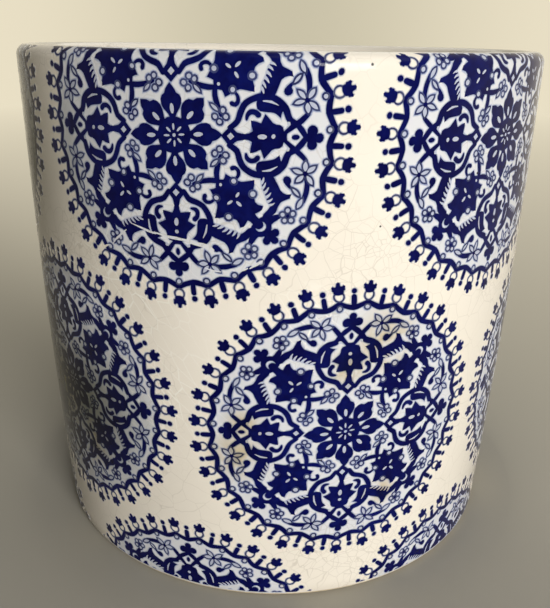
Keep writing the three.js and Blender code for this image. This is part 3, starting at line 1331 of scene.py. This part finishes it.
@dataclass
class PrintSheet:
    """The transfer print: a lattice of one roundel, laid round the wall and cut at lip, foot and back."""

    form: PotForm
    marks: AgeMarks
    lattice: PrintLattice
    roundel: Roundel = field(default_factory=Roundel)
    reach: float = 40.2  # a roundel's outermost point from its middle
    column: float = 2.8  # width of the facets, which keeps them on the round wall
    bends: int = 10  # facets over the lip
    proud: float = 0.035
    thickness: float = 0.1
    foot_line: float = 1.5
    lip_turn: float = 69.0  # degrees of the lip's rounding that the sheet covers
    seam: float = 0.4  # gap between the sheet's ends, at the back
    many_sides: int = 14  # from which a flow outline gets along with every other point
    flat_face: float = 0.6  # how far a skin's face may lean before it counts as one of its edges
    mid_flow: float = 0.5  # what is left of the flown tone half-way out
    hand_sway: float = 0.1
    hand_tremor: float = 0.05

    def cut_plate(self, creased: bool) -> bpy.types.Object:
        """Draw the roundel once, flat, in millimetres.

        The patches overlap freely. One triangulation of all their outlines parts the sheet, and each triangle
        takes the tone of the highest patch over it. Round each inked patch lies a wider outline, within which
        bare glaze takes the flown tone.

        Args:
            creased: Whether the transfer folded here.

        Returns:
            A flat piece whose faces carry their ink, which stays out of the scene.
        """
        patches = self.roundel.patches(creased)
        inked = [i for i, patch in enumerate(patches) if patch.holds_ink]
        points: list[Vector] = []
        outlines: list[list[int]] = []
        wider = [spread(patches[i].outline, self.roundel.flow) for i in inked]
        thinned = [w if len(w) < self.many_sides else w[::2] for w in wider]
        for outline in [patch.outline for patch in patches] + thinned:
            outlines.append(list(range(len(points), len(points) + len(outline))))
            points += [Vector(self.hand_drawn(p)) for p in outline]

        def tone_of(found: Sequence[int]) -> Tone:
            """Give the tone of a triangle.

            Args:
                found: Numbers of the outlines that lie over it.

            Returns:
                The tone.
            """
            top = max((i for i in found if i < len(patches)), default=-1)
            if top >= 0 and patches[top].tone is not Tone.CLEAR:
                return patches[top].tone
            flown = any(inked[i - len(patches)] > top for i in found if i >= len(patches))
            return Tone.FLOWN if flown else Tone.CLEAR

        lines: list[tuple[int, int]] = []
        columns = int(self.reach / self.column) + 1
        for k in range(-columns, columns + 1):
            lines.append((len(points), len(points) + 1))
            points += [Vector((k * self.column, end * (self.reach + 1))) for end in (-1, 1)]
        out_points, _, out_faces, _, _, sources = delaunay_2d_cdt(points, lines, outlines, 1, 1e-4, True)
        toned = [(face, tone_of(found)) for face, found in zip(out_faces, sources)]
        kept = [(face, tone) for face, tone in toned if tone is not Tone.CLEAR]
        mesh = bpy.data.meshes.new("roundel_plate")
        mesh.from_pydata([(*p, 0.0) for p in out_points], [], [face for face, _ in kept])
        ink = mesh.attributes.new(INK_ATTRIBUTE, "FLOAT", "CORNER")
        ink.data.foreach_set("value", self.corner_ink(kept))
        flat = np.array([tuple(p) for p in out_points])[read_all(mesh.loops, "vertex_index")]
        layer = mesh.uv_layers.new(name="OFBake")
        layer.uv.foreach_set("vector", (0.5 + flat / (2 * self.reach + 1)).astype(np.float32).ravel())
        log.info("roundel: %d patches, %d triangles", len(patches), len(kept))
        return bpy.data.objects.new("roundel_plate", mesh)

    def corner_ink(self, toned: Sequence[tuple[Sequence[int], Tone]]) -> list[float]:
        """Let the flown tone fade from the ink's edge out to the bare glaze.

        Args:
            toned: The triangles with their tones.

        Returns:
            How much ink each corner of each triangle holds.
        """
        inked = {v for face, tone in toned if tone in (Tone.LINE, Tone.SOLID) for v in face}
        loops = [(face, (*face[1:], face[0])) for face, _ in toned]
        sides = Counter((min(a, b), max(a, b)) for face, ahead in loops for a, b in zip(face, ahead))
        rim = {v for side, count in sides.items() if count == 1 for v in side}
        values: list[float] = []
        for face, tone in toned:
            for v in face:
                if tone is not Tone.FLOWN or v in inked:
                    values.append(tone.value)
                else:
                    values.append(0.0 if v in rim else self.mid_flow * tone.value)
        return values

    def hand_drawn(self, point: Point) -> Point:
        """Shift a point a little, as an engraver's hand does.

        Args:
            point: Its place on the roundel.

        Returns:
            Its new place, up to about 0.15 mm away.
        """
        (x, y), sway, tremor = point, self.hand_sway, self.hand_tremor
        return (
            x + sway * math.sin(0.41 * y + 0.8) + tremor * math.sin(1.3 * x - 0.9 * y),
            y + sway * math.sin(0.37 * x - 0.5) + tremor * math.sin(1.1 * y + 1.2 * x),
        )

    def cut(self, sheet: bmesh.types.BMesh, place: Vector, facing: Vector, clear: bool) -> None:
        """Cut a sheet along a plane.

        Args:
            sheet: The sheet.
            place: A point on the plane.
            facing: The plane's direction, towards the side that goes if clear is set.
            clear: Whether that side goes.
        """
        parts = [*sheet.verts, *sheet.edges, *sheet.faces]
        bmesh.ops.bisect_plane(
            sheet, geom=parts, dist=1e-5, plane_co=place, plane_no=facing, clear_outer=clear
        )

    def lay(self, plate: bpy.types.Object, middle: Point, name: str) -> bpy.types.Object | None:
        """Lay a copy of the roundel on the wall, as a thin closed skin.

        Args:
            plate: The flat roundel.
            middle: Where its middle lies on the unrolled wall.
            name: The piece's name.

        Returns:
            The piece, or None where nothing of it lies on the sheet.
        """
        form = self.form
        sheet = bmesh.new()
        sheet.from_mesh(plate.data)
        bmesh.ops.translate(sheet, verts=sheet.verts, vec=(0, middle[1], 0))
        over_lip = math.radians(self.lip_turn) * form.lip_radius
        up = Vector((0, 1, 0))
        self.cut(sheet, up * (form.lip_spring + over_lip), up, True)
        self.cut(sheet, up * self.foot_line, -up, True)
        if middle[1] + self.reach > form.lip_spring:
            for k in range(self.bends):
                self.cut(sheet, up * (form.lip_spring + over_lip * k / self.bends), up, False)
        flat = np.array([v.co[:2] for v in sheet.verts])
        places = form.wrap(flat, middle[0] / form.rim_radius, self.proud)
        for vertex, at in zip(sheet.verts, places * MM):
            vertex.co = at
        if abs(middle[0]) + self.reach > math.pi * form.rim_radius:
            side = math.copysign(1.0, middle[0])
            self.cut(sheet, Vector((side * self.seam / 2 * MM, 0, 0)), Vector((-side, 0, 0)), True)
        if not sheet.faces:
            sheet.free()
            return None
        mesh = bpy.data.meshes.new(name)
        sheet.to_mesh(mesh)
        sheet.free()
        piece = bpy.data.objects.new(name, mesh)
        bpy.context.collection.objects.link(piece)
        self.thicken(piece)
        return piece

    def thicken(self, piece: bpy.types.Object) -> None:
        """Give a laid skin its thickness, into the glaze, and the wall's own normals.

        Args:
            piece: The laid skin.
        """
        deselect_all()
        bpy.context.view_layer.objects.active = piece
        piece.select_set(True)
        skin = piece.modifiers.new("thickness", "SOLIDIFY")
        skin.thickness = self.thickness * MM
        skin.offset = -1.0
        bpy.ops.object.modifier_apply(modifier=skin.name)
        mesh = piece.data
        mesh.polygons.foreach_set("use_smooth", [True] * len(mesh.polygons))
        out = self.outward(read_all(mesh.vertices, "co", 3) / MM)[read_all(mesh.loops, "vertex_index")]
        count = read_all(mesh.polygons, "loop_total")
        normal = np.repeat(read_all(mesh.polygons, "normal", 3), count, axis=0)
        towards = (normal * out).sum(1)[:, None]
        wanted = np.where(np.abs(towards) > self.flat_face, out * np.sign(towards), normal)
        mesh.normals_split_custom_set(wanted.tolist())

    def outward(self, places: np.ndarray) -> np.ndarray:
        """Give the wall's outward direction at places on or just under it.

        Args:
            places: Rows of x, y and z in millimetres.

        Returns:
            Rows of unit vectors.
        """
        form = self.form
        x, y, z = places.T
        radius = np.hypot(x, y)
        below = np.clip(form.drawn_in - z, 0, None) / form.drawn_in
        on_lip = z > form.lip_spring
        facing_r = np.where(on_lip, radius - form.rim_radius + form.lip_radius, 1.0)
        facing_z = np.where(on_lip, z - form.lip_spring, -2 * form.taper * below / form.drawn_in)
        facing = np.stack([facing_r * x / radius, facing_r * y / radius, facing_z], 1)
        return facing / np.hypot(facing_r, facing_z)[:, None]

    def build(self) -> list[bpy.types.Object]:
        """Print the whole sheet.

        Returns:
            The roundels on the wall.
        """
        plates = {creased: self.cut_plate(creased) for creased in (False, True)}
        glaze = LeadGlaze()
        finish = glaze.dress("cobalt_print_under_glaze", self.form, self.marks, self.lattice, CobaltPrint())
        laid: list[bpy.types.Object] = []
        for middle in self.lattice.middles(math.pi * self.form.rim_radius, self.reach):
            plate = plates[middle == self.lattice.first]
            piece = self.lay(plate, middle, f"printed_roundel_{len(laid) + 1:02d}")
            if piece is not None:
                dress(piece, finish)
                laid.append(piece)
        for plate in plates.values():
            mesh = plate.data
            bpy.data.objects.remove(plate)
            bpy.data.meshes.remove(mesh)
        return laid


@dataclass(frozen=True)
class SoftLamp:
    """A square softbox that faces the pot."""

    name: str
    azimuth: float  # degrees from the camera's side towards its right
    elevation: float
    distance: float  # metres
    size: float
    power: float
    colour: str
    aim: tuple[float, float, float] = (0.0, 0.0, 0.07)

    def hang(self) -> None:
        """Hang the lamp."""
        data = bpy.data.lights.new(self.name, "AREA")
        data.shape = "SQUARE"
        data.size = self.size
        data.energy = self.power
        data.color = hex_colour(self.colour)[:3]
        lamp = bpy.data.objects.new(self.name, data)
        lamp.visible_camera = False
        bpy.context.collection.objects.link(lamp)
        a, e = math.radians(self.azimuth), math.radians(self.elevation)
        away = Vector((math.sin(a) * math.cos(e), -math.cos(a) * math.cos(e), math.sin(e)))
        lamp.location = Vector(self.aim) + away * self.distance
        lamp.rotation_euler = (-away).to_track_quat("-Z", "Y").to_euler()


@dataclass(frozen=True)
class Studio:
    """The pale room: a floor that runs on into the background, lamps, sky and camera."""

    lens: float = 40.01
    camera_place: tuple[float, float, float] = (0.0, -0.21734, 0.14456)
    pitch: float = -21.495
    yaw: float = 0.087
    roll: float = 0.947
    floor: str = "#a5a196"
    floor_size: float = 12.0  # metres
    floor_drop: float = 0.00005
    fade_from: float = 0.085  # metres from the pot's axis, where the floor starts to fade into the background
    fade_to: float = 1.4
    far_middle: str = "#c9c1a8"
    far_side: str = "#e9dfc5"
    side_span: Point = (0.0, 0.38)  # of a level direction's x or y, from where to where a tone takes over
    far_left: str = "#a9a18c"  # painted shade: the room's far side from the window, which the glaze mirrors on its left
    left_span: Point = (-0.45, -0.85)
    far_front: str = "#9b9587"  # painted shade: the dimmer room behind the viewer
    front_span: Point = (-0.2, -0.8)
    sky: str = "#302d27"
    lamps: tuple[SoftLamp, ...] = (
        SoftLamp("window_light", 25.0, 16.0, 0.9, 0.34, 6.9, "#fffdfa"),
        SoftLamp("room_light", 38.0, 60.0, 1.2, 0.9, 2.1, "#fffdf8"),
        SoftLamp("wall_light", 180.0, 50.0, 1.1, 0.9, 3.4, "#fffdf8"),
    )

    def set_camera(self) -> None:
        """Set the camera where the photographer stood."""
        data = bpy.data.cameras.new("camera")
        data.lens = self.lens
        data.sensor_width = 36.0
        data.clip_start = 0.01
        data.clip_end = 20.0
        camera = bpy.data.objects.new("camera", data)
        bpy.context.collection.objects.link(camera)
        camera.matrix_world = Matrix.Translation(self.camera_place)
        for degrees, axis in ((self.yaw, "Z"), (90 + self.pitch, "X"), (self.roll, "Z")):
            camera.matrix_world = camera.matrix_world @ Matrix.Rotation(math.radians(degrees), 4, axis)
        bpy.context.scene.camera = camera

    def lay_floor(self) -> None:
        """Lay a pale floor that fades all round the pot into a glow of the background's colour, with its
        painted light and shade, for rays that show the background.
        """
        deselect_all()
        bpy.ops.mesh.primitive_plane_add(size=self.floor_size, location=(0, 0, -self.floor_drop))
        floor = bpy.context.object
        floor.name = "floor"
        bpy.ops.object.transform_apply(location=True, rotation=True, scale=True)
        material, tree, shader = new_material("pale_table_and_wall")
        fill(tree, shader, {"Base Color": self.floor, "Roughness": 0.7, "Specular IOR Level": 0.2})
        place = add_node(tree, "ShaderNodeTexCoord").outputs["Object"]
        faded = ramp(tree, vector_maths(tree, "LENGTH", place), self.fade_from, self.fade_to)
        share = maths(tree, "MULTIPLY", maths(tree, "SQRT", faded), self.seen(tree))
        far = {"Color": self.far_tone(tree, place), "Strength": 1.0}
        ends = (shader.outputs[0], add_node(tree, "ShaderNodeEmission", sockets=far).outputs[0])
        mix = add_node(tree, "ShaderNodeMixShader", sockets={0: share, 1: ends[0], 2: ends[1]})
        fill(tree, tree.nodes["Material Output"], {"Surface": mix.outputs[0]})
        floor.data.materials.append(material)

    def far_tone(self, tree: Tree, way: Socket) -> Socket:
        """Add the nodes that colour the background by the compass direction in which it lies: painted lighter
        to the sides, and with painted shade to the left and the front.

        Args:
            tree: The node tree.
            way: Socket with a direction from the pot.

        Returns:
            Socket with the colour.
        """
        unit = vector_maths(tree, "NORMALIZE", vector_maths(tree, "MULTIPLY", way, LEVEL))
        split = add_node(tree, "ShaderNodeSeparateXYZ", sockets={0: unit}).outputs
        tone: Colour = self.far_middle
        for value, span, colour in (
            (maths(tree, "ABSOLUTE", split["X"]), self.side_span, self.far_side),
            (split["X"], self.left_span, self.far_left),
            (split["Y"], self.front_span, self.far_front),
        ):
            tone = blend(tree, ramp(tree, value, *span, smooth=True), tone, colour)
        return tone

    def seen(self, tree: Tree) -> Socket:
        """Add the nodes that give 1 for rays that show the background, straight, mirrored or let through."""
        rays = add_node(tree, "ShaderNodeLightPath").outputs
        return highest(tree, [rays[f"Is {kind} Ray"] for kind in ("Camera", "Glossy", "Transmission")])

    def light(self) -> None:
        """Hang the lamps and set the sky."""
        for lamp in self.lamps:
            lamp.hang()
        world = bpy.data.worlds.new("room")
        bpy.context.scene.world = world
        world.use_nodes = True
        tree = world.node_tree
        tree.nodes.clear()
        way = add_node(tree, "ShaderNodeTexCoord").outputs["Generated"]
        tone = blend(tree, self.seen(tree), self.sky, self.far_tone(tree, way))
        glow = add_node(tree, "ShaderNodeBackground", sockets={"Color": tone, "Strength": 1.0})
        add_node(tree, "ShaderNodeOutputWorld", sockets={"Surface": glow.outputs[0]})

    def build(self) -> None:
        """Set up camera, floor and light."""
        self.set_camera()
        self.lay_floor()
        self.light()
        bpy.context.scene.view_settings.view_transform = "Standard"


def main() -> None:
    """Build the pot, its print and the studio, in that order."""
    form, marks, lattice = PotForm(), AgeMarks(), PrintLattice()
    vessel = Vessel(form, marks, lattice)
    vessel.build_body()
    vessel.build_coat()
    vessel.build_recess()
    PrintSheet(form, marks, lattice).build()
    Studio().build()


if __name__ == "__main__":
    main()
